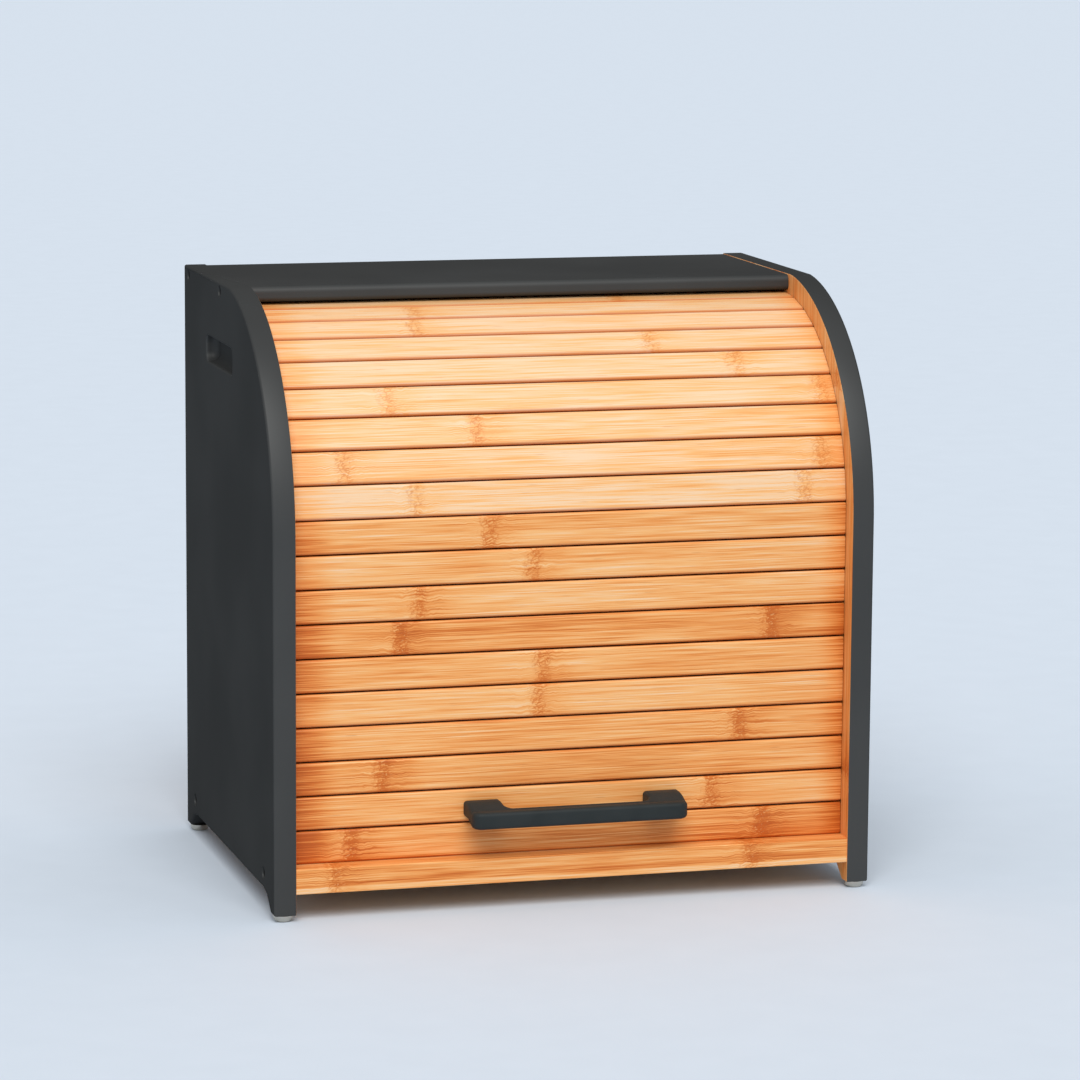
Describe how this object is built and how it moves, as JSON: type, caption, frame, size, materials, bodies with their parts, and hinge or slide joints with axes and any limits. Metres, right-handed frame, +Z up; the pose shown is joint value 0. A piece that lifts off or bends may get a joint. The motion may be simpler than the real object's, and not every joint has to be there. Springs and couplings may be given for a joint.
{
  "type": "bread box",
  "caption": "Roll-top bamboo bread box: dark side panels with a rounded front, a slatted curtain with a bar handle, a shelf and an inner drawer.",
  "frame": {"origin": "middle of the footprint, handle included, on the plane that the feet stand on", "axes": "+X to the box's right as seen from the front, +Y to the rear, +Z up"},
  "size_m": [0.38, 0.2784, 0.3727],
  "materials": {
    "anthracite_paint": "satin anthracite paint on the outside and edges, bare bamboo on the inside",
    "bamboo": "satin lacquered bamboo",
    "inner_bamboo": "matt bamboo",
    "handle_coating": "matt blue-black coating",
    "black_screw": "black oxide",
    "nickel": "nickel plated"
  },
  "bodies": {
    "case": {"left_side_panel": "anthracite_paint", "right_side_panel": "anthracite_paint", "top_board": "anthracite_paint", "base_board": "bamboo", "back_panel": "inner_bamboo", "left_shelf_cleat": "inner_bamboo", "right_shelf_cleat": "inner_bamboo", "shelf": "inner_bamboo", "left_drawer_runner": "inner_bamboo", "right_drawer_runner": "inner_bamboo", "case_screws": "black_screw", "feet": "nickel"},
    "handle_slat": {"slat_02": "bamboo", "pull_handle": "handle_coating", "handle_screws": "black_screw"},
    "slat_01": {"slat_01": "bamboo"},
    "slat_03": {"slat_03": "bamboo"},
    "slat_04": {"slat_04": "bamboo"},
    "slat_05": {"slat_05": "bamboo"},
    "slat_06": {"slat_06": "bamboo"},
    "slat_07": {"slat_07": "bamboo"},
    "slat_08": {"slat_08": "bamboo"},
    "slat_09": {"slat_09": "bamboo"},
    "slat_10": {"slat_10": "bamboo"},
    "slat_11": {"slat_11": "bamboo"},
    "slat_12": {"slat_12": "bamboo"},
    "slat_13": {"slat_13": "bamboo"},
    "slat_14": {"slat_14": "bamboo"},
    "slat_15": {"slat_15": "bamboo"},
    "slat_16": {"slat_16": "bamboo"},
    "slat_17": {"slat_17": "bamboo"},
    "slat_18": {"slat_18": "bamboo"},
    "slat_19": {"slat_19": "bamboo"},
    "drawer": {"drawer_front": "inner_bamboo", "drawer_left_side": "inner_bamboo", "drawer_right_side": "inner_bamboo", "drawer_back": "inner_bamboo", "drawer_bottom": "inner_bamboo"}
  },
  "joints": [
    {"name": "curtain_lift", "type": "hinge", "parent": "case", "child": "handle_slat", "pos_m": [0, 0.17142, 0.14768], "axis": [-1, 0, 0], "range_deg": [0, 56.56]},
    {"name": "slat_01_follow", "type": "hinge", "parent": "case", "child": "slat_01", "pos_m": [0, 0.23177, 0.13712], "axis": [-1, 0, 0], "range_deg": [0, 47.19]},
    {"name": "slat_03_follow", "type": "hinge", "parent": "case", "child": "slat_03", "pos_m": [0, 0.12853, 0.15823], "axis": [-1, 0, 0], "range_deg": [0, 65.94]},
    {"name": "slat_04_follow", "type": "hinge", "parent": "case", "child": "slat_04", "pos_m": [0, 0.0968, 0.16878], "axis": [-1, 0, 0], "range_deg": [0, 75.31]},
    {"name": "slat_05_follow", "type": "hinge", "parent": "case", "child": "slat_05", "pos_m": [0, 0.07273, 0.17933], "axis": [-1, 0, 0], "range_deg": [0, 84.68]},
    {"name": "slat_06_follow", "type": "hinge", "parent": "case", "child": "slat_06", "pos_m": [0, 0.05267, 0.19082], "axis": [-1, 0, 0], "range_deg": [0, 94.93]},
    {"name": "slat_07_follow", "type": "hinge", "parent": "case", "child": "slat_07", "pos_m": [0, 0.03579, 0.20331], "axis": [-1, 0, 0], "range_deg": [0, 106.33]},
    {"name": "slat_08_follow", "type": "hinge", "parent": "case", "child": "slat_08", "pos_m": [0, 0.02321, 0.21553], "axis": [-1, 0, 0], "range_deg": [0, 117.74]},
    {"name": "slat_09_follow", "type": "hinge", "parent": "case", "child": "slat_09", "pos_m": [0, 0.01406, 0.22756], "axis": [-1, 0, 0], "range_deg": [0, 129.14]},
    {"name": "slat_10_follow", "type": "hinge", "parent": "case", "child": "slat_10", "pos_m": [0, 0.00789, 0.23911], "axis": [-1, 0, 0], "range_deg": [0, 140.22]},
    {"name": "slat_11_follow", "type": "hinge", "parent": "case", "child": "slat_11", "pos_m": [0, 0.00718, 0.24126], "axis": [-1, 0, 0], "range_deg": [0, 142.25]},
    {"name": "slat_12_follow", "type": "hinge", "parent": "case", "child": "slat_12", "pos_m": [0, 0.00688, 0.24346], "axis": [-1, 0, 0], "range_deg": [0, 144.28]},
    {"name": "slat_13_follow", "type": "hinge", "parent": "case", "child": "slat_13", "pos_m": [0, 0.00696, 0.24562], "axis": [-1, 0, 0], "range_deg": [0, 146.32]},
    {"name": "slat_14_follow", "type": "hinge", "parent": "case", "child": "slat_14", "pos_m": [0, 0.00573, 0.24143], "axis": [-1, 0, 0], "range_deg": [0, 142.18]},
    {"name": "slat_15_follow", "type": "hinge", "parent": "case", "child": "slat_15", "pos_m": [0, 0.00167, 0.23197], "axis": [-1, 0, 0], "range_deg": [0, 132.81]},
    {"name": "slat_16_follow", "type": "hinge", "parent": "case", "child": "slat_16", "pos_m": [0, -0.00449, 0.22258], "axis": [-1, 0, 0], "range_deg": [0, 123.44]},
    {"name": "slat_17_follow", "type": "hinge", "parent": "case", "child": "slat_17", "pos_m": [0, -0.01302, 0.2133], "axis": [-1, 0, 0], "range_deg": [0, 114.07]},
    {"name": "slat_18_follow", "type": "hinge", "parent": "case", "child": "slat_18", "pos_m": [0, -0.02434, 0.20417], "axis": [-1, 0, 0], "range_deg": [0, 104.69]},
    {"name": "slat_19_follow", "type": "hinge", "parent": "case", "child": "slat_19", "pos_m": [0, -0.03904, 0.19522], "axis": [-1, 0, 0], "range_deg": [0, 95.32]},
    {"name": "drawer_slide", "type": "slide", "parent": "case", "child": "drawer", "axis": [0, -1, 0], "range_m": [0, 0.11]}
  ],
  "couplings": [
    {"joint": "slat_01_follow", "follows": "curtain_lift", "ratio": 0.83431},
    {"joint": "slat_03_follow", "follows": "curtain_lift", "ratio": 1.1657},
    {"joint": "slat_04_follow", "follows": "curtain_lift", "ratio": 1.3314},
    {"joint": "slat_05_follow", "follows": "curtain_lift", "ratio": 1.4971},
    {"joint": "slat_06_follow", "follows": "curtain_lift", "ratio": 1.6783},
    {"joint": "slat_07_follow", "follows": "curtain_lift", "ratio": 1.8799},
    {"joint": "slat_08_follow", "follows": "curtain_lift", "ratio": 2.0815},
    {"joint": "slat_09_follow", "follows": "curtain_lift", "ratio": 2.2832},
    {"joint": "slat_10_follow", "follows": "curtain_lift", "ratio": 2.4789},
    {"joint": "slat_11_follow", "follows": "curtain_lift", "ratio": 2.5149},
    {"joint": "slat_12_follow", "follows": "curtain_lift", "ratio": 2.5508},
    {"joint": "slat_13_follow", "follows": "curtain_lift", "ratio": 2.5868},
    {"joint": "slat_14_follow", "follows": "curtain_lift", "ratio": 2.5137},
    {"joint": "slat_15_follow", "follows": "curtain_lift", "ratio": 2.348},
    {"joint": "slat_16_follow", "follows": "curtain_lift", "ratio": 2.1823},
    {"joint": "slat_17_follow", "follows": "curtain_lift", "ratio": 2.0166},
    {"joint": "slat_18_follow", "follows": "curtain_lift", "ratio": 1.8509},
    {"joint": "slat_19_follow", "follows": "curtain_lift", "ratio": 1.6852},
    {"joint": "drawer_slide", "follows": "curtain_lift", "m_per_rad": 0.11143}
  ]
}
